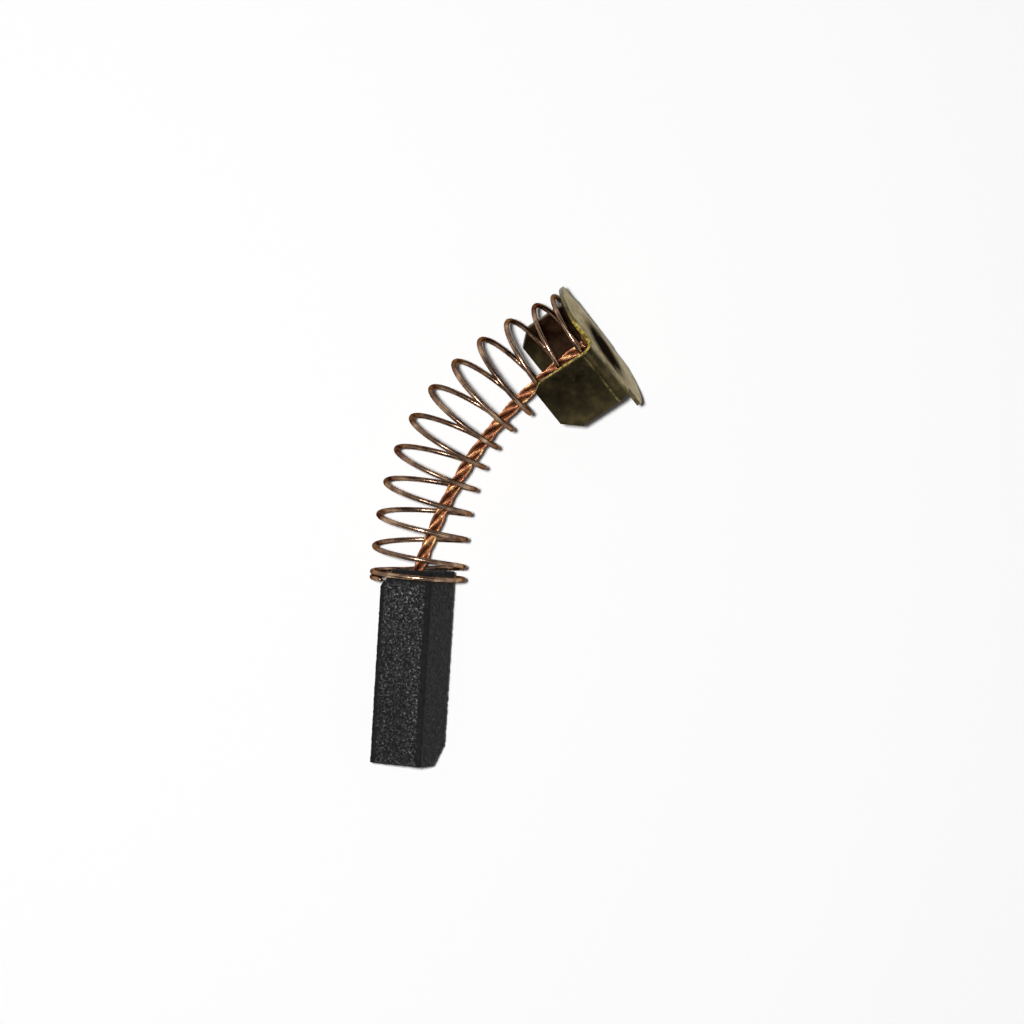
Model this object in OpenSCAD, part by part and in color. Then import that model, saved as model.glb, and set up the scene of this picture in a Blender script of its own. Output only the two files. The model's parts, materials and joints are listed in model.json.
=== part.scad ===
// Carbon brush for a small electric motor: a carbon block, the spring that
// presses it on, the copper shunt that feeds it, and the brass cap they end in.
// It lies on its side with the spring bowed, as it does out of its holder.
// +Z is up and Z = 0 is the surface that it lies on. The block points along
// +Y, towards the spring.

/* [Carbon block] */
// Width of the block across its front face
block_w = 6; // [5:0.1:6.2]
// Depth of the block from its front face to its back face
block_d = 6; // [5:0.1:6.2]
// Length of the block from the contact face to the spring end
block_len = 20.8; // [12:0.2:26]
// Bevel along the four long edges
edge_bevel = 0.2; // [0.1:0.05:0.5]
// Length along the block of the bevel at the back of the contact end
heel_len = 2.3; // [0.6:0.1:4]
// Depth of that bevel across the contact face
heel_depth = 2.6; // [0.6:0.1:4]
// Length along the block of the large bevel at the left of the spring end
crown_len = 1.9; // [0.4:0.1:2.4]
// Depth of that bevel across the spring end
crown_depth = 1.5; // [0.3:0.05:1.7]
// Length along the block of the small bevel at the front of the spring end
brow_len = 0.6; // [0.2:0.05:1]
// Depth of that bevel across the spring end
brow_depth = 0.4; // [0.1:0.05:0.8]
// Roll of the block about its own axis
block_roll = 21; // [8:1:26]

/* [Shunt hole] */
// Diameter of the hole that holds the end of the shunt
hole_dia = 2.4; // [2.1:0.1:3.2]
// Depth of the hole to its shoulder
hole_depth = 6; // [4:0.5:9]
// Point angle of the drill that made the hole
drill_angle = 118; // [90:2:140]
// How far the shunt stops short of the hole's shoulder
rope_short = 1; // [0.5:0.1:2]
// Depth of the dish in the top of the tamped filling
plug_dish = 0.3; // [0.1:0.05:0.6]

/* [Spring] */
// Diameter of the spring wire
wire_dia = 0.55; // [0.4:0.05:0.7]
// Outside diameter of the spring
coil_dia = 10; // [9.4:0.1:10.4]
// Outside diameter of the spring's first turn, at the block
first_dia = 10.3; // [9.4:0.1:10.6]
// Number of turns in which the spring narrows from there
narrow_turns = 4; // [1:0.5:8]
// Distance from one open turn to the next
coil_pitch = 3.14; // [2.6:0.02:3.6]
// Number of open turns
open_turns = 10.4; // [8:0.01:12]
// Number of closed turns at the block
block_turns = 1.3; // [1.2:0.02:2]
// Number of closed turns at the cap
cap_turns = 1.14; // [1:0.02:2]
// Where the wire starts round the coil, from the outside of the bow
start_angle = -42; // [-180:1:180]
// Turn of the spring's centre line from one end of the bow to the other
bow_angle = 60; // [40:0.5:70]
// Turn of the coils, and of the cap's axis, from the block's axis
cap_turn = 53; // [36:1:60]
// Tilt of the coils, and of the cap's axis, upwards at the cap end
cap_tilt = 4.5; // [0:0.1:6]
// How far the middle of the bow rises out of its plane
bow_rise = 0.1; // [0:0.05:1]
// How far the end turn reaches down round the block
seat_depth = 1.35; // [0.8:0.05:1.6]

/* [Shunt] */
// Diameter of the shunt rope
rope_dia = 1.3; // [1:0.05:1.5]
// Length of rope in which a strand makes one turn
rope_lay = 8.4; // [6:0.2:12]
// How far the rope keeps off the inside of the coils where it is nearest
rope_gap = 0.8; // [0.4:0.1:2]

/* [Terminal cap] */
// Diameter of the cap's disc
cap_dia = 15; // [14.8:0.1:17]
// Thickness of the brass sheet
sheet = 0.5; // [0.3:0.05:0.7]
// Width of each ear
ear_w = 7.4; // [6:0.1:8]
// Length of each ear, from the outer face of the disc
ear_len = 7.9; // [6:0.1:10]
// Outer radius of the bend between the disc and an ear
bend_radius = 1.25; // [0.9:0.05:1.6]
// How far the straight cuts of the disc beside an ear lie inside its bend
ear_relief = 0.5; // [0:0.05:0.6]
// Large corner cut at the free end of each ear
ear_cut = 1.75; // [0.8:0.05:2.4]
// Width of the small corner cut at the free end of each ear
nick_w = 0.7; // [0.2:0.1:1.4]
// Length of that cut along the ear
nick_len = 1; // [0.3:0.1:1.6]
// Roll of the cap about its own axis
cap_roll = 32; // [15:1:35]
// How far the spring sits off the cap's axis, along the ears
seat_shift = 2.7; // [0:0.1:3]
// Diameter of the dimple pressed in the middle of the cap
dimple_dia = 4.2; // [3:0.1:5]
// Depth of the dimple
dimple_depth = 0.25; // [0.1:0.05:0.25]

/* [Weld] */
// Diameter of the weld that joins the shunt to the cap
weld_dia = 3; // [2.2:0.1:3.6]
// Height of the weld above the cap
weld_height = 0.8; // [0.4:0.1:1.2]
// How far the weld is off the middle of the cap, towards the outside of the bow
weld_lag = 1; // [0:0.1:1.5]

/* [Hidden] */

// Clearances: between pieces that touch, and between the pieces named
touch = 0.02;
block_play = 0.04;
rope_play = 0.05;
ear_play = 0.2;
// Past this, one cut runs clear of the face that it opens
over = 1;
// Sides of round surfaces, of the wire and of a strand; rings along the tubes
round_sides = 96;
wire_sides = 8;
strand_sides = 8;
turn_rings = 20;
rope_ring_gap = 0.55;
bow_steps = 120;

// ---- the bow lies in the XY plane: it starts along +Y and bends towards +X
function heading(turn) = [sin(turn), cos(turn), 0];
function inward(turn) = [cos(turn), -sin(turn), 0];
// The same heading tilted up, and the direction square to both
function aim(turn, tilt) = cos(tilt) * heading(turn) + [0, 0, sin(tilt)];
function lift(turn, tilt) = [0, 0, cos(tilt)] - sin(tilt) * heading(turn);
function eased(share) = (1 - cos(180 * min(max(share, 0), 1))) / 2;
function wrap(angle) = angle - 360 * floor(angle / 360);

// ---- spring: a wire wound round the bow
wire_r = wire_dia / 2;
closed_pitch = wire_dia * 1.05;
turns = block_turns + open_turns + cap_turns;
spring_len = wire_dia + closed_pitch * (block_turns + cap_turns) + coil_pitch * open_turns;
coil_r = coil_dia / 2 - wire_r;
// The first turn opens to clear the bevelled corners of the block
corner_r = max(norm([block_d / 2, block_w / 2 - edge_bevel]), norm([block_d / 2 - edge_bevel, block_w / 2]));
first_r = max(coil_r, first_dia / 2 - wire_r, corner_r + block_play + wire_r);

bow_step = spring_len / bow_steps;
bow_points = [
    for (i = 0, p = [0, -seat_depth, 0]; i <= bow_steps;
         p = p + bow_step * heading(bow_angle * eased((i + 0.5) / bow_steps)), i = i + 1)
        p
];
function bow_at(share) =
    let (x = min(max(share, 0), 1) * bow_steps, i = min(floor(x), bow_steps - 1))
    bow_points[i] + (x - i) * (bow_points[i + 1] - bow_points[i])
    + [0, 0, bow_rise * sin(180 * x / bow_steps)];
function coil_turn(share) = cap_turn * eased(share);
function coil_tilt(share) = cap_tilt * eased(share);

// How far along the spring the wire's centre is after t turns
function wire_rise(t) =
    wire_r + closed_pitch * t
    + (coil_pitch - closed_pitch) * min(max(t - block_turns, 0), open_turns);
function wire_reach(t) = first_r + (coil_r - first_r) * eased((t - 1) / narrow_turns);
// Unit vector from the bow to the wire: at 0 it points out of the bow, at 90 down
function wire_side(angle, turn, tilt) = -cos(angle) * inward(turn) - sin(angle) * lift(turn, tilt);
function wire_ring(t) =
    let (
        share = wire_rise(t) / spring_len,
        turn = coil_turn(share),
        tilt = coil_tilt(share),
        out = wire_side(360 * t + start_angle, turn, tilt),
        centre = bow_at(share) + wire_reach(t) * out
    )
    [for (k = [0:wire_sides - 1])
        let (a = 360 * (k + 0.5) / wire_sides)
        centre + wire_r * (cos(a) * out + sin(a) * aim(turn, tilt))];

// ---- cap: its ears pass the spring on either side, which rests on their bends
ear_reach = coil_dia / 2 + ear_play + sheet;
inner_bend = bend_radius - sheet;
// Half the distance between the straight cuts of the disc
flat = ear_reach - bend_radius - ear_relief;
past_bend = coil_r - (ear_reach - bend_radius);
seat_gap = past_bend <= 0 ? touch :
    max(touch, inner_bend - wire_r - sqrt(pow(inner_bend - wire_r - touch, 2) - pow(past_bend, 2)));
spring_end = bow_points[bow_steps];
// Directions at the cap: its axis, out through the upper ear, and along both ears
cap_axis = aim(cap_turn, cap_tilt);
ear_out = cos(cap_roll) * lift(cap_turn, cap_tilt) + sin(cap_roll) * inward(cap_turn);
ear_along = cos(cap_roll) * inward(cap_turn) - sin(cap_roll) * lift(cap_turn, cap_tilt);
cap_inside = spring_end + seat_gap * cap_axis + seat_shift * ear_along;
cap_outside = cap_inside + sheet * cap_axis;
weld_centre = cap_inside - weld_lag * inward(cap_turn);

// ---- shunt: a straight stretch in the block, then a chord inside the bow
strands = 4;
rope_r = rope_dia / 2;
rope_bow = coil_r - wire_r - rope_r - rope_gap;
rope_buried = hole_depth - rope_short;
weld_top = weld_height + touch + 2 * rope_play;
mouth_share = seat_depth / spring_len;
rope_end_share = 1 - (weld_top - seat_gap) / spring_len;
function rope_point(share) =
    let (u = (share - mouth_share) / (1 - mouth_share),
         across = rope_bow * sin(180 * u) + (weld_centre - spring_end) * inward(cap_turn) * pow(u, 3))
    bow_at(share) + across * inward(coil_turn(share)) + [0, 0, weld_centre.z * pow(u, 2)];
free_steps = ceil((rope_end_share - mouth_share) * spring_len / rope_ring_gap);
buried_steps = ceil(rope_buried / rope_ring_gap);
rope_line = concat(
    [for (i = [0:buried_steps - 1]) [0, -rope_buried * (1 - i / buried_steps), 0]],
    [for (i = [0:free_steps])
        rope_point(mouth_share + (rope_end_share - mouth_share) * i / free_steps)]
);
rope_last = len(rope_line) - 1;
rope_lengths = [
    for (i = 0, s = 0; i <= rope_last;
         s = s + (i < rope_last ? norm(rope_line[i + 1] - rope_line[i]) : 0), i = i + 1)
        s
];
// A round bundle in which each strand touches its two neighbours
strand_ratio = sin(180 / strands);
lay_r = rope_r / (1 + strand_ratio);
strand_r = lay_r * strand_ratio - touch / 2;
function rope_turn(i) =
    let (d = rope_line[min(i + 1, rope_last)] - rope_line[max(i - 1, 0)]) atan2(d.x, d.y);
function round_rope(turn, angle) = cos(angle) * inward(turn) - [0, 0, sin(angle)];
function strand_ring(i, first) =
    let (turn = rope_turn(i), lay = first + 360 * rope_lengths[i] / rope_lay)
    [for (k = [0:strand_sides - 1])
        rope_line[i] + lay_r * round_rope(turn, lay)
        + strand_r * round_rope(turn, lay + 360 * k / strand_sides)];

// ---- how the part lies: on the block's low edge, the first turn and the cap
foot_block =
    let (down = -block_d / 2, side = -(block_w / 2 - edge_bevel))
    [side * cos(block_roll) - down * sin(block_roll), heel_len - block_len,
     down * cos(block_roll) + side * sin(block_roll)];
low_turn = wrap(90 - start_angle) / 360;
function foot_coil(lean) =
    bow_at(wire_rise(low_turn) / spring_len)
    - (wire_reach(low_turn) + wire_r) * [sin(lean), 0, cos(lean)];
foot_rim = cap_inside - flat * ear_out + sqrt(pow(cap_dia / 2, 2) - pow(flat, 2)) * ear_along;
foot_ear = cap_outside - (ear_len - nick_len) * cap_axis
    - ear_reach * ear_out + ear_w / 2 * ear_along;
function plane_up(a, b, c) = let (n = cross(b - a, c - b)) n / norm(n) * sign(n.z);
function steeper(a, b) = a.x > b.x ? a : b;
function lie_on(coil) = steeper(plane_up(foot_block, coil, foot_rim), plane_up(foot_block, coil, foot_ear));
first_up = lie_on(foot_coil(0));
low_coil = foot_coil(atan2(first_up.x, first_up.z));
upward = lie_on(low_coil);
tip_x = atan2(upward.y, upward.z);
tip_y = -atan2(upward.x, norm([upward.y, upward.z]));
rest_height = -upward * low_coil;

// Middle of the footprint, from what reaches furthest on each side
world_x = [cos(tip_y), sin(tip_y) * sin(tip_x), sin(tip_y) * cos(tip_x)];
world_y = [0, cos(tip_x), -sin(tip_x)];
function ring_reach(centre, r, turn, tilt, way) =
    centre * way + r * norm([inward(turn) * way, lift(turn, tilt) * way]);
left_side = -ring_reach(bow_at(wire_rise(1) / spring_len), first_r + wire_r, 0, 0, -world_x);
right_side = ring_reach(cap_outside, cap_dia / 2, cap_turn, cap_tilt, world_x);
near_side = -([-foot_block.x, -block_len, -foot_block.z] * -world_y);
far_side = ring_reach(cap_outside, cap_dia / 2, cap_turn, cap_tilt, world_y);

module laid()
    translate([-(left_side + right_side) / 2, -(near_side + far_side) / 2, rest_height])
        rotate([tip_x, tip_y, 0])
            children();

// Sets a piece drawn upright, with its front towards +X, on an axis
module on_axis(origin, turn, tilt, roll)
    translate(origin) rotate([tilt, 0, -turn]) rotate([-90, -90, 0]) rotate([0, 0, roll])
        children();

// ---- pieces
// Wedge that bevels the +X edge of the end at Z = 0 of a block of the given half size
module end_bevel(half, length, depth) {
    slope = length / depth;
    translate([half, 0, 0]) rotate([90, 0, 0])
        linear_extrude(height = block_d + block_w, center = true)
            polygon([[-depth - over / slope, over], [over, over], [over, -length - over * slope]]);
}

module block_section()
    intersection() {
        square([block_d, block_w], center = true);
        rotate(45) square((block_d + block_w) / sqrt(2) - edge_bevel * sqrt(2), center = true);
    }

module carbon_block()
    color("#303033") laid() on_axis([0, 0, 0], 0, 0, -block_roll) difference() {
        translate([0, 0, -block_len]) linear_extrude(height = block_len) block_section();
        rotate([0, 0, -90]) end_bevel(block_w / 2, crown_len, crown_depth);
        end_bevel(block_d / 2, brow_len, brow_depth);
        translate([0, 0, -block_len]) rotate([0, 0, 180]) mirror([0, 0, 1])
            end_bevel(block_d / 2, heel_len, heel_depth);
        shunt_hole();
    }

module shunt_hole()
    rotate_extrude($fn = round_sides)
        polygon([[0, over], [hole_dia / 2, over], [hole_dia / 2, -hole_depth],
                 [0, -hole_depth - hole_dia / 2 / tan(drill_angle / 2)]]);

module tamped_plug() {
    plug_r = hole_dia / 2 - touch;
    rope_hole = rope_r + rope_play;
    color("#5a3d2e") laid() on_axis([0, 0, 0], 0, 0, 0) rotate_extrude($fn = round_sides)
        polygon([[rope_hole, -plug_dish], [plug_r, -touch], [plug_r, -hole_depth],
                 [0, -hole_depth - plug_r / tan(drill_angle / 2)],
                 [0, -rope_buried - rope_play], [rope_hole, -rope_buried - rope_play]]);
}

// Closed tube over a list of rings that each have the same number of points
module tube(rings) {
    sides = len(rings[0]);
    last = len(rings) - 1;
    polyhedron(
        points = [for (ring = rings) for (p = ring) p],
        faces = concat(
            [[for (k = [0:sides - 1]) k]],
            [for (i = [0:last - 1], k = [0:sides - 1])
                let (a = i * sides + k, b = i * sides + (k + 1) % sides)
                each [[a, a + sides, b], [b, a + sides, b + sides]]],
            [[for (k = [sides - 1:-1:0]) last * sides + k]]
        ),
        convexity = 10
    );
}

module coil_spring()
    color("#8a5a3c") laid()
        tube([for (i = [0:ceil(turns * turn_rings)]) wire_ring(min(i / turn_rings, turns))]);

module shunt_strand(number)
    color("#b5683a") laid()
        tube([for (i = [0:rope_last]) strand_ring(i, 360 * number / strands)]);

module weld_nugget()
    color("#8c6a3c") laid() on_axis(weld_centre, cap_turn, cap_tilt, 0) rotate_extrude($fn = round_sides)
        polygon([[0, -touch], [weld_dia / 2, -touch],
                 [weld_dia / 2 - weld_height / 3, -weld_height - touch], [0, -weld_height - touch]]);

// One ear in section: out along the disc, round the bend and down to the free end
module ear_section() {
    root = ear_reach - bend_radius;
    translate([flat - over, -sheet]) square([root - flat + over, sheet]);
    translate([root, -bend_radius]) intersection() {
        difference() {
            circle(r = bend_radius, $fn = round_sides);
            circle(r = bend_radius - sheet, $fn = round_sides);
        }
        square(bend_radius);
    }
    translate([ear_reach - sheet, -ear_len]) square([sheet, ear_len - bend_radius]);
}

module ear()
    intersection() {
        rotate([90, 0, 0]) linear_extrude(height = ear_w, center = true) ear_section();
        // outline of the ear, with its two corner cuts
        rotate([90, 0, 90]) linear_extrude(height = ear_reach + over)
            polygon([[-ear_w / 2, over], [-ear_w / 2, nick_len - ear_len], [nick_w - ear_w / 2, -ear_len],
                     [ear_w / 2 - ear_cut, -ear_len], [ear_w / 2, ear_cut - ear_len], [ear_w / 2, over]]);
    }

module terminal_cap()
    color("#8f8340") laid() on_axis(cap_outside, cap_turn, cap_tilt, cap_roll) {
        difference() {
            intersection() {
                translate([0, 0, -sheet]) cylinder(d = cap_dia, h = sheet, $fn = round_sides);
                translate([-flat, -cap_dia, -cap_dia]) cube([2 * flat, 2 * cap_dia, 2 * cap_dia]);
            }
            dimple_cut();
        }
        for (a = [0, 180]) rotate([0, 0, a]) ear();
    }

// Shallow spherical dimple in the outer face
module dimple_cut() {
    rise = dimple_depth;
    ball_r = (pow(dimple_dia / 2, 2) + pow(rise, 2)) / (2 * rise);
    translate([0, 0, ball_r - rise]) sphere(r = ball_r, $fn = round_sides);
}

carbon_block();
tamped_plug();
coil_spring();
shunt_strand(1);  // shunt_strand_1
shunt_strand(2);  // shunt_strand_2
shunt_strand(3);  // shunt_strand_3
shunt_strand(4);  // shunt_strand_4
weld_nugget();
terminal_cap();
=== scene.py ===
import json
import math

import bmesh
import bpy
import numpy as np
from mathutils import Matrix, Vector, noise


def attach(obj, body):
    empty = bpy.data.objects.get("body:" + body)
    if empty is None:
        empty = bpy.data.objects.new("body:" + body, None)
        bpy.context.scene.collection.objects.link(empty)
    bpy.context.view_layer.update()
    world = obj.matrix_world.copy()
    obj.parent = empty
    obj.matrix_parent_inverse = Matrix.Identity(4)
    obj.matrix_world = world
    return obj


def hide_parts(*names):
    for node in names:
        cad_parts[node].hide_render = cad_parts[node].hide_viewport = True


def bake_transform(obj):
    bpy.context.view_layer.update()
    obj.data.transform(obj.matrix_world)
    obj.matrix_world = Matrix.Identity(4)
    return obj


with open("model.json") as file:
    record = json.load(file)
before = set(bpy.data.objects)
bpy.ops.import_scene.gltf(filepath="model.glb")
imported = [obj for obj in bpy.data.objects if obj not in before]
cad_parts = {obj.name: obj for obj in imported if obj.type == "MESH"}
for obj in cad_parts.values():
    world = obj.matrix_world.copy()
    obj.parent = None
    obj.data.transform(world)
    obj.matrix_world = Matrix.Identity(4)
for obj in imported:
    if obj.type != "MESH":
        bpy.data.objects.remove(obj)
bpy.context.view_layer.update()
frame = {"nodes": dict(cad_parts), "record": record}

# ---------------------------------------------------------------- sizes
# Millimetres, and degrees for angles, with the names of the part's source.
MM = 0.001
BLOCK_W, BLOCK_D, BLOCK_LEN, BLOCK_ROLL = 6.0, 6.0, 20.8, 21.0
HOLE_DEPTH, ROPE_SHORT = 6.0, 1.0
WIRE_DIA, COIL_DIA, COIL_PITCH = 0.55, 10.0, 3.14
FIRST_DIA, NARROW_TURNS = 10.3, 4.0
OPEN_TURNS, BLOCK_TURNS, CAP_TURNS = 10.4, 1.3, 1.14
START_ANGLE = -42.0
BOW_ANGLE, CAP_TURN, CAP_TILT, BOW_RISE = 60.0, 53.0, 4.5, 0.1
SEAT_DEPTH = 1.35
ROPE_DIA, ROPE_LAY, ROPE_GAP = 1.3, 8.4, 0.8
SHEET, BEND_RADIUS = 0.5, 1.25
CAP_ROLL, SEAT_SHIFT = 32.0, 2.7
WELD_HEIGHT, WELD_LAG = 0.8, 1.0
TOUCH, ROPE_PLAY, EAR_PLAY = 0.02, 0.05, 0.2
STRANDS = 4


def sin(angle):
    """The sine of an angle in degrees."""
    return math.sin(math.radians(angle))


def cos(angle):
    """The cosine of an angle in degrees."""
    return math.cos(math.radians(angle))


# ---------------------------------------------------------------- the bow's own frame
# Origin at the middle of the block's spring end, +Y along the block towards the
# spring, +X towards the side that it bends to. The mounts say where that lies.
mounts = {m["name"]: m for m in frame["record"]["mounts"]}
along = Vector(mounts["carbon_section"]["axis"]).normalized() * -1
cap_out = Vector(mounts["cap_face"]["axis"]).normalized()
cap_across, cap_rise = cos(CAP_TILT) * sin(CAP_TURN), sin(CAP_TILT)
cap_rest = cap_out - cos(CAP_TILT) * cos(CAP_TURN) * along
across = (cap_across * cap_rest + cap_rise * along.cross(cap_rest)).normalized()
upward = across.cross(along).normalized()
middle = Vector(mounts["carbon_section"]["pos_m"]) + along * (BLOCK_LEN / 2 * MM)
PLACE = Matrix.Translation(middle) @ Matrix((across, along, upward)).transposed().to_4x4()
UP = np.array([0.0, 0.0, 1.0])


def placed(points):
    """Points of the bow's frame, in millimetres, as points of the row frame, in metres."""
    m = np.array(PLACE)
    return np.asarray(points, float) * MM @ m[:3, :3].T + m[:3, 3]


def in_row(direction):
    """A direction of the bow's frame in the row frame."""
    return PLACE.to_3x3() @ Vector(direction)


def heading(turn):
    """The level direction that is turned by so many degrees from +Y towards +X."""
    return np.stack([np.sin(np.radians(turn)), np.cos(np.radians(turn)), 0 * turn], -1)


def inward(turn):
    """Square to that heading, towards the inside of the bow."""
    return np.stack([np.cos(np.radians(turn)), -np.sin(np.radians(turn)), 0 * turn], -1)


def aim(turn, tilt):
    """The heading tilted up."""
    tilt = np.radians(tilt)[..., None]
    return np.cos(tilt) * heading(turn) + np.sin(tilt) * UP


def lift(turn, tilt):
    """Square to the tilted heading and to inward."""
    tilt = np.radians(tilt)[..., None]
    return np.cos(tilt) * UP - np.sin(tilt) * heading(turn)


def eased(share):
    """0 to 1, starting and ending softly."""
    return (1 - np.cos(np.pi * np.clip(share, 0, 1))) / 2


# ---------------------------------------------------------------- the spring's centre line
# from one closed turn to the next, in wires
CLOSED_SPACING = 1.05
BOW_STEPS = 480

wire_r = WIRE_DIA / 2
coil_r = COIL_DIA / 2 - wire_r
first_r = FIRST_DIA / 2 - wire_r
closed_pitch = WIRE_DIA * CLOSED_SPACING
turns = BLOCK_TURNS + OPEN_TURNS + CAP_TURNS
spring_len = WIRE_DIA + closed_pitch * (BLOCK_TURNS + CAP_TURNS) + COIL_PITCH * OPEN_TURNS

bow_shares = np.linspace(0, 1, BOW_STEPS + 1)
bow_turns = BOW_ANGLE * eased((bow_shares[:-1] + bow_shares[1:]) / 2)
bow_start = np.array([0, -SEAT_DEPTH, 0])
bow_points = np.vstack([
    bow_start,
    bow_start + np.cumsum(spring_len / BOW_STEPS * heading(bow_turns), axis=0),
])
bow_points[:, 2] += BOW_RISE * np.sin(np.pi * bow_shares)
spring_end = bow_points[-1]


def bow_at(share):
    """The centre line's points at these shares of its length."""
    return np.stack([np.interp(share, bow_shares, bow_points[:, k]) for k in range(3)], -1)


# ---------------------------------------------------------------- the cap's place on the spring
ear_reach = COIL_DIA / 2 + EAR_PLAY + SHEET
inner_bend = BEND_RADIUS - SHEET
past_bend = coil_r - (ear_reach - BEND_RADIUS)
seat_gap = inner_bend - wire_r - math.sqrt((inner_bend - wire_r - TOUCH) ** 2 - past_bend ** 2)
last_turn, last_tilt = np.array(CAP_TURN), np.array(CAP_TILT)
cap_axis = aim(last_turn, last_tilt)
ear_along = cos(CAP_ROLL) * inward(last_turn) - sin(CAP_ROLL) * lift(last_turn, last_tilt)
ear_out = cos(CAP_ROLL) * lift(last_turn, last_tilt) + sin(CAP_ROLL) * inward(last_turn)
cap_inside = spring_end + seat_gap * cap_axis + SEAT_SHIFT * ear_along
cap_outside = cap_inside + SHEET * cap_axis
weld_centre = cap_inside - WELD_LAG * inward(last_turn)


# ---------------------------------------------------------------- mesh helpers
# points this near each other, in metres, are one
SAME_POINT = 1e-7
# faces that turn by less than this are one flat face
FLAT_TURN = 0.5


def new_piece(name, points, faces):
    """A smooth mesh object in the row frame from points of the bow's frame."""
    mesh = bpy.data.meshes.new(name)
    mesh.from_pydata([tuple(p) for p in placed(points)], [], [tuple(map(int, f)) for f in faces])
    mesh.update()
    mesh.polygons.foreach_set("use_smooth", [True] * len(mesh.polygons))
    piece = bpy.data.objects.new(name, mesh)
    bpy.context.scene.collection.objects.link(piece)
    return piece


def tube(centres, ring_x, ring_y, radii, sides):
    """Points and faces of a closed tube; ring_x and ring_y span each ring's plane."""
    angles = 2 * np.pi * np.arange(sides) / sides
    rings = (centres[:, None, :]
             + radii[:, None, None] * (np.cos(angles)[None, :, None] * ring_x[:, None, :]
                                       + np.sin(angles)[None, :, None] * ring_y[:, None, :]))
    count = len(centres)
    i, k = np.meshgrid(np.arange(count - 1), np.arange(sides), indexing="ij")
    a, b = i * sides + k, i * sides + (k + 1) % sides
    side_faces = np.stack([a, b, b + sides, a + sides], -1).reshape(-1, 4).tolist()
    ends = [list(range(sides))[::-1], list(range((count - 1) * sides, count * sides))]
    return rings.reshape(-1, 3), side_faces + ends


def lengths_along(line):
    """The distance along a line to each of its points."""
    return np.concatenate([[0], np.cumsum(np.linalg.norm(np.diff(line, axis=0), axis=1))])


def copy_of(node, name):
    """A piece that starts as a CAD node's mesh, with its split edges joined and flat faces whole."""
    mesh = frame["nodes"][node].data.copy()
    mesh.materials.clear()
    shape = bmesh.new()
    shape.from_mesh(mesh)
    bmesh.ops.remove_doubles(shape, verts=shape.verts, dist=SAME_POINT)
    bmesh.ops.dissolve_limit(shape, angle_limit=math.radians(FLAT_TURN),
                             verts=shape.verts, edges=shape.edges)
    for face in shape.faces:
        face.material_index = 0
    shape.to_mesh(mesh)
    shape.free()
    piece = bpy.data.objects.new(name, mesh)
    bpy.context.scene.collection.objects.link(piece)
    return piece


def joined(parts):
    """One list of points and faces from several."""
    points, faces, base = [], [], 0
    for p, f in parts:
        points.append(p)
        faces += [[v + base for v in face] for face in f]
        base += len(p)
    return np.vstack(points), faces


# ---------------------------------------------------------------- spring
WIRE_SIDES, TURN_RINGS = 16, 56
# the wire ends this share of a turn early, under the ear's edge
END_SHORT = 0.04
# the cut ends are a little rounded, to this share of the wire
END_ROUND = 0.8


def make_spring():
    """The spring's wire, closed over the block and in the cap, wider over the block."""
    t = np.linspace(0, turns - END_SHORT, int(turns * TURN_RINGS) + 1)
    opened = np.clip(t - BLOCK_TURNS, 0, OPEN_TURNS)
    rise = wire_r + closed_pitch * t + (COIL_PITCH - closed_pitch) * opened
    share = rise / spring_len
    turn, tilt = CAP_TURN * eased(share), CAP_TILT * eased(share)
    angle = np.radians(360 * t + START_ANGLE)[:, None]
    out = -np.cos(angle) * inward(turn) - np.sin(angle) * lift(turn, tilt)
    reach = first_r + (coil_r - first_r) * eased((t - 1) / NARROW_TURNS)
    centres = bow_at(share) + reach[:, None] * out
    radii = np.full(len(t), wire_r)
    radii[[0, -1]] *= END_ROUND
    piece = new_piece("spring_wire", *tube(centres, aim(turn, tilt), out, radii, WIRE_SIDES))
    # how far along the wire each point is, in millimetres, for the drawn wire's fine rings
    run = piece.data.attributes.new("wire_run", "FLOAT", "POINT")
    run.data.foreach_set("value", np.repeat(lengths_along(centres), WIRE_SIDES).astype(np.float32))
    return piece


# ---------------------------------------------------------------- shunt
STRAND_WIRES, BUNCH_LAY = 11, 3.4
FINE_RING_GAP, FINE_SIDES, CORE_SIDES = 0.2, 5, 8
# in radii of a fine wire: how far the core's surface is inside the strand's, and how thick a wire is
CORE_INSET, FINE_SWELL = 1.6, 1.05

rope_r = ROPE_DIA / 2
rope_buried = HOLE_DEPTH - ROPE_SHORT
rope_bow = coil_r - wire_r - rope_r - ROPE_GAP
mouth_share = SEAT_DEPTH / spring_len
rope_end_share = 1 - (WELD_HEIGHT + TOUCH + 2 * ROPE_PLAY - seat_gap) / spring_len
weld_off = float(np.dot(weld_centre - spring_end, inward(last_turn)))
strand_ratio = sin(180 / STRANDS)
lay_r = rope_r / (1 + strand_ratio)
strand_r = lay_r * strand_ratio - TOUCH / 2
fine_r = strand_r / (1 + 1 / math.sin(math.pi / STRAND_WIRES))


def rope_line():
    """The rope's centre line, straight in the block, then inside the bow and up to the weld."""
    rings = int((rope_end_share - mouth_share) * spring_len / FINE_RING_GAP) + 1
    free = np.linspace(mouth_share, rope_end_share, rings)
    u = (free - mouth_share) / (1 - mouth_share)
    stray = rope_bow * np.sin(np.pi * u) + weld_off * u ** 3
    points = bow_at(free) + stray[:, None] * inward(CAP_TURN * eased(free))
    points[:, 2] += weld_centre[2] * u ** 2
    buried = np.linspace(-rope_buried, 0, int(rope_buried / FINE_RING_GAP) + 1)[:-1]
    return np.vstack([np.stack([0 * buried, buried, 0 * buried], -1), points])


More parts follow.
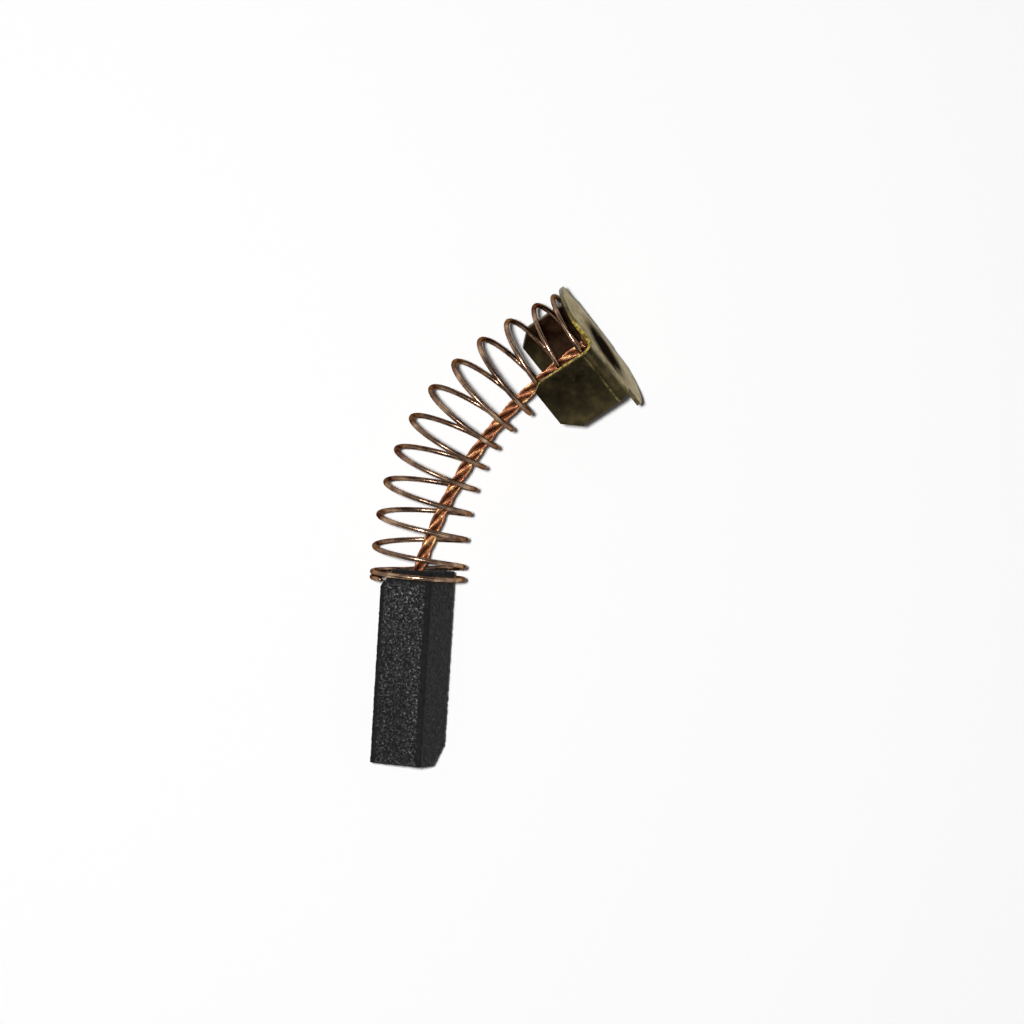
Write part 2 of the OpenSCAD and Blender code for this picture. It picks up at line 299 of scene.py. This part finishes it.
def make_strand(number):
    """One of the rope's strands: a ring of fine wires wound round a plain core."""
    line = rope_line()
    step = np.gradient(line, axis=0)
    turn = np.degrees(np.arctan2(step[:, 0], step[:, 1]))
    length = lengths_along(line)
    side, down = inward(turn), np.tile([0.0, 0.0, -1.0], (len(line), 1))

    def around(angle):
        return np.cos(angle)[:, None] * side + np.sin(angle)[:, None] * down

    lay = 2 * np.pi * (number / STRANDS + length / ROPE_LAY)
    middle_line = line + lay_r * around(lay)
    core_r = strand_r - CORE_INSET * fine_r
    parts = [tube(middle_line, side, down, np.full(len(line), core_r), CORE_SIDES)]
    for w in range(STRAND_WIRES):
        wind = lay + 2 * np.pi * (w / STRAND_WIRES - length / BUNCH_LAY)
        parts.append(tube(middle_line + (strand_r - fine_r) * around(wind), side, down,
                          np.full(len(line), fine_r * FINE_SWELL), FINE_SIDES))
    return new_piece(f"strand_wires_{number}", *joined(parts))


# ---------------------------------------------------------------- block
BLOCK_VOXEL = 0.14
GRAIN_SIZE, GRAIN_DEPTH = 0.3, 0.05
# the grain's noise: how fast its finer layers fade, how much finer each is, and how many there are
GRAIN_FADE, GRAIN_FINER, GRAIN_LAYERS = 1.0, 2.0, 2
# it rises no higher than this, as a share of its depth
GRAIN_TOP = 0.6


def make_block():
    """The block with its edges worn round and a fine pressed grain."""
    piece = copy_of("carbon_block", "carbon_body")
    remesh = piece.modifiers.new("grain", "REMESH")
    remesh.mode = "VOXEL"
    remesh.voxel_size = BLOCK_VOXEL * MM
    graph = bpy.context.evaluated_depsgraph_get()
    mesh = bpy.data.meshes.new_from_object(piece.evaluated_get(graph))
    piece.modifiers.clear()
    piece.data = mesh
    normals = [v.normal.copy() for v in mesh.vertices]
    for v, normal in zip(mesh.vertices, normals):
        grain = noise.fractal(v.co / (GRAIN_SIZE * MM), GRAIN_FADE, GRAIN_FINER, GRAIN_LAYERS)
        v.co += normal * min(grain, GRAIN_TOP) * GRAIN_DEPTH * MM
    mesh.polygons.foreach_set("use_smooth", [True] * len(mesh.polygons))
    return piece


# ---------------------------------------------------------------- cap
EDGE_WEAR, EDGE_SEGMENTS = 0.06, 2
# edges over the first angle are worn, and those over the second stay sharp in the shading
WORN_FROM, SHARP_FROM = 35, 40
SHEET_FACE, CUT_FACE = 0, 1
# a face looks a way when its normal has this share in it, and slants to it from the smaller share
FACING, SLANTED = 0.9, 0.3
CAP_AXES = np.array([ear_out, ear_along, cap_axis])


def cap_height(point):
    """How far a point of the row frame is above the disc's face, in millimetres."""
    from_face = PLACE.inverted() @ Vector(point) / MM - Vector(cap_outside)
    return (CAP_AXES @ np.array(from_face))[2]


def is_cut(face):
    """Whether a face of the cap is a sheared edge of the sheet."""
    height = cap_height(face.calc_center_median())
    normal = PLACE.to_3x3().inverted() @ face.normal
    to_ears, to_sides, to_top = CAP_AXES @ np.array(normal)
    free_end = to_top < -FACING and height < -2 * BEND_RADIUS
    straight_cut = abs(to_ears) > FACING and height > -SHEET
    return abs(to_sides) > SLANTED or free_end or straight_cut


def make_cap():
    """The cap with its sheared edges picked out and slightly broken."""
    piece = copy_of("terminal_cap", "cap_plate")
    shape = bmesh.new()
    shape.from_mesh(piece.data)
    for face in shape.faces:
        face.material_index = CUT_FACE if is_cut(face) else SHEET_FACE
    sharp = [e for e in shape.edges
             if len(e.link_faces) == 2 and e.calc_face_angle() > math.radians(WORN_FROM)]
    bmesh.ops.bevel(shape, geom=sharp, offset=EDGE_WEAR * MM, segments=EDGE_SEGMENTS,
                    affect="EDGES", profile=0.5, clamp_overlap=True)
    for face in shape.faces:
        face.smooth = True
    shape.to_mesh(piece.data)
    shape.free()
    piece.data.set_sharp_from_angle(angle=math.radians(SHARP_FROM))
    return piece


# ---------------------------------------------------------------- nodes
# where a Mix node has its two values and its result, by what it mixes
MIX_SOCKETS = {"FLOAT": (2, 3, 0), "RGBA": (6, 7, 2)}
# the rays that see the white surroundings: the camera's, and those off metal and through glass
WHITE_RAYS = ("Is Camera Ray", "Is Glossy Ray", "Is Transmission Ray")


class Nodes:
    """A node tree, with the few nodes that the finishes, the floor and the world are made of."""

    def __init__(self, tree):
        self.tree = tree

    def add(self, kind):
        """A new shader node."""
        return self.tree.nodes.new("ShaderNode" + kind)

    def feed(self, socket, value):
        """Put a number, a colour, a direction or another node's output into a socket."""
        if isinstance(value, bpy.types.NodeSocket):
            self.tree.links.new(value, socket)
        elif isinstance(value, tuple):
            # a colour's socket also takes an alpha
            socket.default_value = (*value, 1)[:len(socket.default_value)]
        else:
            socket.default_value = value

    def math(self, operation, *values):
        """The result of a Math node."""
        node = self.add("Math")
        node.operation = operation
        for socket, value in zip(node.inputs, values):
            self.feed(socket, value)
        return node.outputs[0]

    def product(self, first, *others):
        """All of these multiplied."""
        for value in others:
            first = self.math("MULTIPLY", first, value)
        return first

    def vector(self, operation, a, b):
        """The result of a Vector Math node: a number or a vector, as the operation has it."""
        node = self.add("VectorMath")
        node.operation = operation
        self.feed(node.inputs[0], a)
        self.feed(node.inputs[1], b)
        return node.outputs["Value" if operation in ("DOT_PRODUCT", "DISTANCE") else "Vector"]

    def steps(self, value, start, end, at_start=0.0, at_end=1.0):
        """at_start up to start and at_end from end, smoothly between; end may be the lower."""
        if start > end:
            start, end, at_start, at_end = end, start, at_end, at_start
        node = self.add("MapRange")
        node.interpolation_type = "SMOOTHSTEP"
        for socket, number in (("Value", value), ("From Min", start), ("From Max", end),
                               ("To Min", at_start), ("To Max", at_end)):
            self.feed(node.inputs[socket], number)
        return node.outputs["Result"]

    def mix(self, factor, a, b, kind="RGBA"):
        """a where the factor is 0, b where it is 1."""
        node = self.add("Mix")
        node.data_type = kind
        first, second, result = MIX_SOCKETS[kind]
        self.feed(node.inputs[0], factor)
        self.feed(node.inputs[first], a)
        self.feed(node.inputs[second], b)
        return node.outputs[result]

    def rays(self, *kinds):
        """1 for rays of these kinds, 0 for others."""
        path = self.add("LightPath")
        total = path.outputs[kinds[0]]
        for kind in kinds[1:]:
            total = self.math("MAXIMUM", total, path.outputs[kind])
        return total


class Paint(Nodes):
    """A material, with the nodes that read a place on the part."""

    def __init__(self, name, **sockets):
        self.material = bpy.data.materials.new(name)
        self.material.use_nodes = True
        super().__init__(self.material.node_tree)
        self.shader = self.tree.nodes["Principled BSDF"]
        for socket, value in sockets.items():
            self.set(socket.replace("_", " "), value)
        self.place = self.add("TexCoord").outputs["Object"]

    def set(self, socket, value):
        """Put a value or a node's output into one of the shader's sockets."""
        self.feed(self.shader.inputs[socket], value)

    def noise(self, size_mm, detail=2.0, roughness=0.5):
        """Noise in all directions, with its largest lumps about this far apart."""
        mapping = self.add("Mapping")
        mapping.inputs["Scale"].default_value = [1 / (size_mm * MM)] * 3
        texture = self.add("TexNoise")
        texture.inputs["Scale"].default_value = 1.0
        texture.inputs["Detail"].default_value = detail
        texture.inputs["Roughness"].default_value = roughness
        self.feed(mapping.inputs["Vector"], self.place)
        self.feed(texture.inputs["Vector"], mapping.outputs["Vector"])
        return texture.outputs["Fac"]

    def rings(self, attribute, size_mm):
        """Noise that varies only along a piece, by an attribute that holds millimetres."""
        run = self.add("Attribute")
        run.attribute_name = attribute
        texture = self.add("TexNoise")
        texture.noise_dimensions = "1D"
        texture.inputs["Scale"].default_value = 1 / size_mm
        self.feed(texture.inputs["W"], run.outputs["Fac"])
        return texture.outputs["Fac"]

    def reach(self, origin, direction):
        """Millimetres from origin along direction."""
        offset = self.vector("SUBTRACT", self.place, tuple(origin))
        return self.math("DIVIDE", self.vector("DOT_PRODUCT", offset, tuple(direction)), MM)

    def distance(self, origin):
        """Millimetres from origin."""
        return self.math("DIVIDE", self.vector("DISTANCE", self.place, tuple(origin)), MM)

    def at_least(self, lowest, share):
        """From lowest, where the share is 0, to 1."""
        return self.math("MULTIPLY_ADD", share, 1 - lowest, lowest)

    def ramp(self, factor, *stops):
        """A colour or a grey level by the factor, from stops of a position and a level."""
        node = self.add("ValToRGB")
        elements = node.color_ramp.elements
        # a new ramp has two stops, at 0 and 1, and more go between them
        while len(elements) < len(stops):
            elements.new(0.5)
        for element, (position, level) in zip(elements, stops):
            element.position = position
            element.color = (*level, 1) if isinstance(level, tuple) else (level,) * 3 + (1,)
        self.feed(node.inputs["Fac"], factor)
        return node.outputs["Color"]

    def bump(self, height, depth_mm, strength):
        """Make the surface look uneven by this height."""
        node = self.add("Bump")
        node.inputs["Distance"].default_value = depth_mm * MM
        node.inputs["Strength"].default_value = strength
        self.feed(node.inputs["Height"], height)
        self.set("Normal", node.outputs["Normal"])


# ---------------------------------------------------------------- colours
def linear(*srgb):
    """A display colour, 0 to 255, as the linear colour that a shader takes."""
    return tuple((c / 255 / 12.92) if c <= 10.31 else ((c / 255 + 0.055) / 1.055) ** 2.4 for c in srgb)


COAL, COAL_WORN = linear(14, 14, 15), linear(28, 28, 28)
COAL_GRAIN, COAL_SPECK = linear(84, 83, 84), linear(136, 134, 134)
POWDER_DARK, POWDER_LIGHT = linear(52, 36, 28), linear(140, 92, 64)
BRONZE_DARK, BRONZE, BRONZE_LIGHT = linear(98, 77, 65), linear(144, 116, 97), linear(216, 182, 146)
COPPER_DARK, COPPER, COPPER_LIGHT = linear(114, 66, 52), linear(164, 110, 76), linear(240, 202, 142)
BRASS_DARK, BRASS, BRASS_LIGHT = linear(48, 43, 30), linear(63, 56, 38), linear(90, 80, 52)
BROWN_DARK, BROWN_LIGHT = linear(58, 36, 28), linear(78, 58, 42)
# the disc's face, painted paler as a reflection
DISC_DARK, DISC_LIGHT = linear(84, 77, 58), linear(156, 148, 126)
# the fold's rubbed line, partly a painted highlight, and the flecks
RUB_AND_HIGHLIGHT, FLECK = linear(150, 138, 84), linear(150, 134, 82)
# the halo and the dull dark spot in the middle of the disc's face
SPOT_HALO, SPOT_DARK = linear(62, 48, 30), linear(30, 24, 19)
CUT_DARK, CUT_LIGHT = linear(54, 47, 30), linear(112, 98, 50)
# the colours of the cuts' painted highlight
GOLD_DARK, GOLD, GOLD_LIGHT = linear(104, 86, 34), linear(196, 168, 60), linear(240, 218, 104)
WELD_DARK, WELD_LIGHT = linear(48, 34, 26), linear(150, 104, 70)
# what the metals mirror at a glancing angle
BRONZE_RIM, COPPER_RIM, BRASS_RIM = linear(140, 122, 112), linear(200, 176, 150), linear(240, 228, 200)

# ---------------------------------------------------------------- carbon and filling
# where the grains thin out, leaving darker carbon, in millimetres in from the spring end (painted shade
# under the closed turns), the long edges (a darker band) and the right face (painted shade of that side)
END_SHADE, EDGE_BAND, RIGHT_SHADE = (0.9, 1.7), (0.4, 0.8), (0.12, 0.3)
# light grains crowd towards the spring and the right edge: millimetres below the end, and right
# of the middle, where that starts and where they are most
CROWD_BELOW, CROWD_RIGHT = (14.0, 3.0), (0.5, 2.4)
# the share of them where they are fewest, and on the right face, where having fewer grains is painted
# shade
FEWEST, RIGHT_SHADE_SHARE = 0.5, 0.25
# the noise levels between which the grains and the brighter specks come out
GRAIN_FROM, SPECK_FROM = (0.46, 0.68), (0.6, 0.7)


def carbon_paint():
    """Dull pressed carbon with light grains, most of them near the spring and the right edge, fewer along
    the long edges, and, as painted shade, few on the right face and none at the spring end.
    """
    p = Paint("carbon", Metallic=0.0, IOR=1.5, Specular_IOR_Level=0.12)
    front = in_row([-sin(BLOCK_ROLL), 0, cos(BLOCK_ROLL)])
    right = in_row([cos(BLOCK_ROLL), 0, sin(BLOCK_ROLL)])
    below_end = p.product(p.reach(middle, along), -1.0)
    to_right, to_front = p.reach(middle, right), p.reach(middle, front)
    corner = p.math("ADD", p.math("ABSOLUTE", to_front), p.math("ABSOLUTE", to_right))
    at_corner = (BLOCK_W + BLOCK_D) / 2
    # painted shade: no grains in the band under the closed turns at the spring end; fewer along the long
    # edges
    clear_of_bands = p.product(p.steps(below_end, *END_SHADE), p.steps(corner, *(at_corner - d for d in EDGE_BAND)))
    # painted shade: the right face keeps only a share of the grains, so it renders darker
    painted_side_shade = p.at_least(RIGHT_SHADE_SHARE, p.steps(to_right, *(BLOCK_W / 2 - d for d in RIGHT_SHADE)))
    crowd = p.math("MAXIMUM", p.steps(below_end, *CROWD_BELOW), p.steps(to_right, *CROWD_RIGHT))
    amount = p.product(p.at_least(FEWEST, crowd), painted_side_shade, clear_of_bands)
    grain = p.steps(p.noise(0.25, detail=3.0, roughness=0.7), *GRAIN_FROM)
    specks = p.steps(p.noise(0.27, detail=2.0, roughness=0.6), *SPECK_FROM)
    base = p.ramp(p.noise(0.5, detail=4.0, roughness=0.7), (0.35, COAL), (0.65, COAL_WORN))
    base = p.mix(p.product(grain, amount), base, COAL_GRAIN)
    base = p.mix(p.product(specks, amount), base, COAL_SPECK)
    p.set("Base Color", base)
    p.set("Roughness", p.ramp(p.noise(0.4, detail=3.0), (0.3, 0.6), (0.7, 0.8)))
    p.bump(p.noise(0.13, detail=3.0, roughness=0.6), depth_mm=0.05, strength=0.8)
    return p.material


def filling_paint():
    """Coarse copper powder."""
    p = Paint("copper_powder", Metallic=0.4, Roughness=0.7)
    p.set("Base Color", p.ramp(p.noise(0.1, detail=3.0), (0.35, POWDER_DARK), (0.7, POWDER_LIGHT)))
    p.bump(p.noise(0.12, detail=3.0), depth_mm=0.03, strength=0.6)
    return p.material


# ---------------------------------------------------------------- wires and weld
def spring_paint():
    """Dark bronze wire with worn, brighter stretches and the fine rings of drawn wire."""
    p = Paint("spring_wire", Metallic=1.0, Specular_Tint=BRONZE_RIM)
    wear = p.noise(1.6, detail=3.0, roughness=0.5)
    p.set("Base Color", p.ramp(wear, (0.32, BRONZE_DARK), (0.52, BRONZE), (0.74, BRONZE_LIGHT)))
    p.set("Roughness", p.ramp(p.noise(0.5, detail=3.0), (0.3, 0.22), (0.7, 0.32)))
    p.bump(p.rings("wire_run", 0.3), depth_mm=0.02, strength=1.0)
    return p.material


def copper_paint():
    """Bare copper wires, some dull and red and some bright."""
    p = Paint("copper_strand", Metallic=1.0, Specular_Tint=COPPER_RIM)
    wear = p.noise(0.9, detail=3.0, roughness=0.6)
    p.set("Base Color", p.ramp(wear, (0.3, COPPER_DARK), (0.54, COPPER), (0.72, COPPER_LIGHT)))
    p.set("Roughness", p.ramp(p.noise(0.4, detail=2.0), (0.3, 0.28), (0.7, 0.4)))
    return p.material


def weld_paint():
    """Rough, half bright weld metal."""
    p = Paint("weld_metal", Metallic=0.8, Roughness=0.5)
    p.set("Base Color", p.ramp(p.noise(0.5, detail=3.0), (0.3, WELD_DARK), (0.7, WELD_LIGHT)))
    p.bump(p.noise(0.3, detail=3.0), depth_mm=0.05, strength=0.6)
    return p.material


# ---------------------------------------------------------------- brass
# Each pair is where a finish starts and where it is full, in millimetres.
# inside the ears: out from the sheet's inner face, down from the fold, up from the ears' ends
INSIDE_OUT, INSIDE_TOP, INSIDE_END = (0.15, 0.05), (0.6, 1.2), (7.4, 5.2)
# the rubbed line along the fold, partly a painted highlight: in to its middle, how far that wanders, and
# from how far above the end of the bend
FOLD_IN, FOLD_WANDER, FOLD_ABOVE = (0.18, 0.03), 0.5, 0.15
# the disc's face, painted paler as a reflection: up from just under its edge
DISC_UP = (0.35, 0.05)
# the halo and the dark spot in the middle of the disc's face, by the distance from the spot's middle; how
# far both fray;
# and how far the spot's middle is from the disc's
HALO_IN, SPOT_IN, SPOT_FRAY, SPOT_SHIFT = (6.0, 4.2), (4.9, 3.0), 1.8, 0.5
# the flecks: the noise levels between which they come out, and how strong they are
FLECK_FROM, FLECK_LEVEL = (0.78, 0.82), 0.7
# the painted highlight on the cuts: out to the upper ear, in to the middle, up to the root
GLINT_OUT, GLINT_IN, GLINT_UP = (3.0, 4.5), (3.4, 2.4), (9.5, 3.5)


def from_cap(p, direction):
    """Millimetres from the middle of the disc's face along a direction of the bow's frame."""
    return p.reach(placed([cap_outside])[0], in_row(direction))


def inside_ears(p, below_face):
    """1 on the ears' inner faces, away from the fold and the ears' ends."""
    off_middle = p.math("ABSOLUTE", from_cap(p, ear_out))
    inner = p.steps(off_middle, *(ear_reach - SHEET + d for d in INSIDE_OUT))
    return p.product(p.steps(below_face, *INSIDE_TOP), p.steps(below_face, *INSIDE_END), inner)


def fold_rub_and_highlight(p, below_face):
    """A broken line along the fold, rubbed paler and partly a painted highlight."""
    wander = p.math("MULTIPLY_ADD", p.noise(2.2, detail=2.0), FOLD_WANDER, BEND_RADIUS - FOLD_ABOVE)
    off_line = p.math("ABSOLUTE", p.math("SUBTRACT", below_face, wander))
    broken = p.ramp(p.noise(0.5, detail=3.0, roughness=0.6), (0.42, 0.05), (0.62, 0.8))
    return p.product(p.steps(off_line, *FOLD_IN), broken)


def sheet_paint():
    """Dull dark brass, with a painted reflection that makes the disc's face paler, and a dull dark spot
    in a brown halo on that face, near where the shunt is welded on behind. It is brown inside the ears,
    and along the fold rubbed paler with a painted highlight."""
    p = Paint("cap_brass", Specular_Tint=BRASS_RIM, Specular_IOR_Level=0.0)
    below_face = p.product(from_cap(p, cap_axis), -1.0)
    brass = p.ramp(p.noise(1.8, detail=4.0, roughness=0.6),
                   (0.32, BRASS_DARK), (0.52, BRASS), (0.74, BRASS_LIGHT))
    brown = p.ramp(p.noise(1.4, detail=3.0), (0.35, BROWN_DARK), (0.65, BROWN_LIGHT))
    painted_disc_reflection = p.ramp(p.noise(1.1, detail=4.0, roughness=0.6), (0.36, DISC_DARK), (0.62, DISC_LIGHT))
    brass = p.mix(inside_ears(p, below_face), brass, brown)
    # painted highlight along the fold, with rubbed wear
    brass = p.mix(fold_rub_and_highlight(p, below_face), brass, RUB_AND_HIGHLIGHT)
    # painted reflection: the disc's face is paler than the rest of the sheet
    brass = p.mix(p.steps(below_face, *DISC_UP), brass, painted_disc_reflection)
    spot_middle = placed([cap_outside + SPOT_SHIFT * inward(last_turn)])[0]
    spot_reach = p.math("ADD", p.distance(spot_middle), p.product(p.noise(1.2, detail=3.0), SPOT_FRAY))
    dark_spot = p.steps(spot_reach, *SPOT_IN)
    # a dull dark spot with a brown halo in the middle of the disc's face
    brass = p.mix(p.steps(spot_reach, *HALO_IN), brass, SPOT_HALO)
    brass = p.mix(dark_spot, brass, SPOT_DARK)
    flecks = p.product(p.steps(p.noise(0.24, detail=1.0, roughness=0.4), *FLECK_FROM), FLECK_LEVEL)
    p.set("Base Color", p.mix(flecks, brass, FLECK))
    p.set("Metallic", p.math("SUBTRACT", 1.0, dark_spot))
    p.set("Roughness", p.ramp(p.noise(0.7, detail=4.0, roughness=0.6), (0.3, 0.3), (0.7, 0.46)))
    p.bump(p.noise(0.35, detail=3.0, roughness=0.6), depth_mm=0.02, strength=0.35)
    return p.material


def cut_paint():
    """Sheared brass: a painted highlight round the root of the upper ear, dull elsewhere."""
    p = Paint("cut_brass", Metallic=0.3)
    upper = p.steps(from_cap(p, ear_out), *GLINT_OUT)
    middle_part = p.steps(from_cap(p, ear_along), *GLINT_IN)
    near_root = p.steps(p.product(from_cap(p, cap_axis), -1.0), *GLINT_UP)
    dull = p.ramp(p.noise(0.8, detail=3.0, roughness=0.6), (0.35, CUT_DARK), (0.7, CUT_LIGHT))
    bright = p.ramp(p.noise(0.4, detail=3.0, roughness=0.6),
                    (0.38, GOLD_DARK), (0.52, GOLD), (0.64, GOLD_LIGHT))
    # painted highlight: the cuts round the root of the upper ear are made bright, the others stay dull
    p.set("Base Color", p.mix(p.product(upper, middle_part, near_root), dull, bright))
    p.set("Roughness", p.ramp(p.noise(0.3, detail=3.0), (0.3, 0.26), (0.7, 0.45)))
    p.bump(p.noise(0.16, detail=3.0, roughness=0.6), depth_mm=0.03, strength=0.5)
    return p.material


# ---------------------------------------------------------------- pieces
def dress(piece, *materials):
    """Add materials. Clearing the list first would lose which faces have which."""
    for material in materials:
        piece.data.materials.append(material)


spring = make_spring()
dress(spring, spring_paint())
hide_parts("coil_spring")
bend_start, bend_end = placed([[0, 0, 0], spring_end])
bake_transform(spring)

copper = copper_paint()
for number in range(1, STRANDS + 1):
    strand = make_strand(number)
    dress(strand, copper)
    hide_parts(f"shunt_strand_{number}")
    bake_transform(strand)

block = make_block()
dress(block, carbon_paint())
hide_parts("carbon_block")
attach(block, "carbon")

cap = make_cap()
dress(cap, sheet_paint(), cut_paint())
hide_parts("terminal_cap")
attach(cap, "cap")

for node, material in (("tamped_plug", filling_paint()), ("weld_nugget", weld_paint())):
    frame["nodes"][node].material_slots[0].material = material

# ---------------------------------------------------------------- floor
# half its side, in metres
FLOOR_HALF = 1.5
# how white its paper is, and the light of its own where it is seen
FLOOR_WHITE, FLOOR_GLOW = 0.93, 0.01


def floor_paint():
    """White paper that keeps the part's shadow, with a trace of light of its own where it is seen."""
    p = Paint("floor_paper", Base_Color=(FLOOR_WHITE,) * 3, Roughness=0.9, Specular_IOR_Level=0.1)
    white = p.add("Emission")
    p.feed(white.inputs["Color"], (1.0, 1.0, 1.0))
    both = p.add("MixShader")
    p.feed(both.inputs["Fac"], p.product(p.rays(*WHITE_RAYS), FLOOR_GLOW))
    p.feed(both.inputs[1], p.shader.outputs[0])
    p.feed(both.inputs[2], white.outputs[0])
    p.feed(p.tree.nodes["Material Output"].inputs["Surface"], both.outputs[0])
    return p.material


def make_floor():
    """A level square under the part."""
    mesh = bpy.data.meshes.new("floor")
    h = FLOOR_HALF
    mesh.from_pydata([(-h, -h, 0), (h, -h, 0), (h, h, 0), (-h, h, 0)], [], [(0, 1, 2, 3)])
    floor = bpy.data.objects.new("floor", mesh)
    bpy.context.scene.collection.objects.link(floor)
    dress(floor, floor_paint())


make_floor()

# ---------------------------------------------------------------- camera
# Almost straight down: the photograph's view leans a little to the right of the
# bow's frame and towards the spring, and is turned against the block. In millimetres.
VIEW_LEAN = Vector((0.075, 0.05, 1.0))
VIEW_ROLL = 3.5
VIEW_WIDTH = 109.2
VIEW_DISTANCE = 700.0
VIEW_MIDDLE = (9.65, 6.83, 0.0)
SENSOR = 36.0
# in metres
CLIP_NEAR, CLIP_FAR = 0.01, 10.0


def make_camera():
    """The photograph's view."""
    back = in_row(VIEW_LEAN).normalized()
    block_up = (along - along.dot(back) * back).normalized()
    block_right = block_up.cross(back)
    up = cos(VIEW_ROLL) * block_up - sin(VIEW_ROLL) * block_right
    right = up.cross(back)
    data = bpy.data.cameras.new("camera")
    camera = bpy.data.objects.new("camera", data)
    bpy.context.scene.collection.objects.link(camera)
    data.sensor_width = SENSOR
    data.lens = SENSOR * VIEW_DISTANCE / VIEW_WIDTH
    data.clip_start = CLIP_NEAR
    data.clip_end = CLIP_FAR
    target = Vector(placed([VIEW_MIDDLE])[0])
    turned = Matrix((right, up, back)).transposed().to_4x4()
    camera.matrix_world = Matrix.Translation(target + back * VIEW_DISTANCE * MM) @ turned
    bpy.context.scene.camera = camera


make_camera()

# ---------------------------------------------------------------- light
KEY_TOWARDS = (0.025, 0.07, 1.0)
# in metres
KEY_DISTANCE, KEY_SIZE = 0.7, 0.03
KEY_LEVEL = 1.02
# what lights dull surfaces, and the darkest that metal mirrors; white is 1
AMBIENT_LEVEL, SKY_LEVEL = 0.05, 0.06
# the mirrored horizon fades from white to the sky between these heights, as shares of straight up
HORIZON = (0.05, 0.45)
# the mirrored band overhead lies square to this heading; its half width and half its soft edge
BAND_TURN, BAND_HALF, BAND_EDGE = 26.0, 14.0, 6.0


def lamp(name, towards, distance, size, level):
    """A square lamp that faces the part. Towards is in the bow's frame, the rest in metres;
    a level of 1 shows a white surface that faces the lamp as white."""
    data = bpy.data.lights.new(name, "AREA")
    data.shape = "SQUARE"
    data.size = size
    data.energy = level * math.pi ** 2 * distance ** 2
    light = bpy.data.objects.new(name, data)
    bpy.context.scene.collection.objects.link(light)
    way = in_row(towards).normalized()
    light.location = way * distance
    light.rotation_mode = "QUATERNION"
    light.rotation_quaternion = way.to_track_quat("Z", "Y")


def make_world():
    """White behind the part. Metal mirrors a dim sky, a white horizon and a white band overhead."""
    world = bpy.data.worlds.new("studio")
    bpy.context.scene.world = world
    world.use_nodes = True
    n = Nodes(world.node_tree)
    direction = n.add("TexCoord").outputs["Generated"]
    height = n.vector("DOT_PRODUCT", direction, tuple(in_row(UP)))
    off_band = n.vector("DOT_PRODUCT", direction, tuple(in_row(heading(np.array(BAND_TURN)))))
    horizon = n.steps(height, *HORIZON, 1.0, SKY_LEVEL)
    band = n.steps(n.math("ABSOLUTE", off_band),
                   sin(BAND_HALF - BAND_EDGE), sin(BAND_HALF + BAND_EDGE), 1.0, SKY_LEVEL)
    mirrored = n.math("MAXIMUM", horizon, band)
    not_seen = n.mix(n.rays(*WHITE_RAYS), AMBIENT_LEVEL, mirrored, "FLOAT")
    level = n.mix(n.rays("Is Camera Ray"), not_seen, 1.0, "FLOAT")
    background = n.tree.nodes["Background"]
    n.feed(background.inputs["Color"], (1.0, 1.0, 1.0))
    n.feed(background.inputs["Strength"], level)


lamp("key", KEY_TOWARDS, KEY_DISTANCE, KEY_SIZE, KEY_LEVEL)
make_world()
bpy.context.scene.view_settings.view_transform = "Standard"
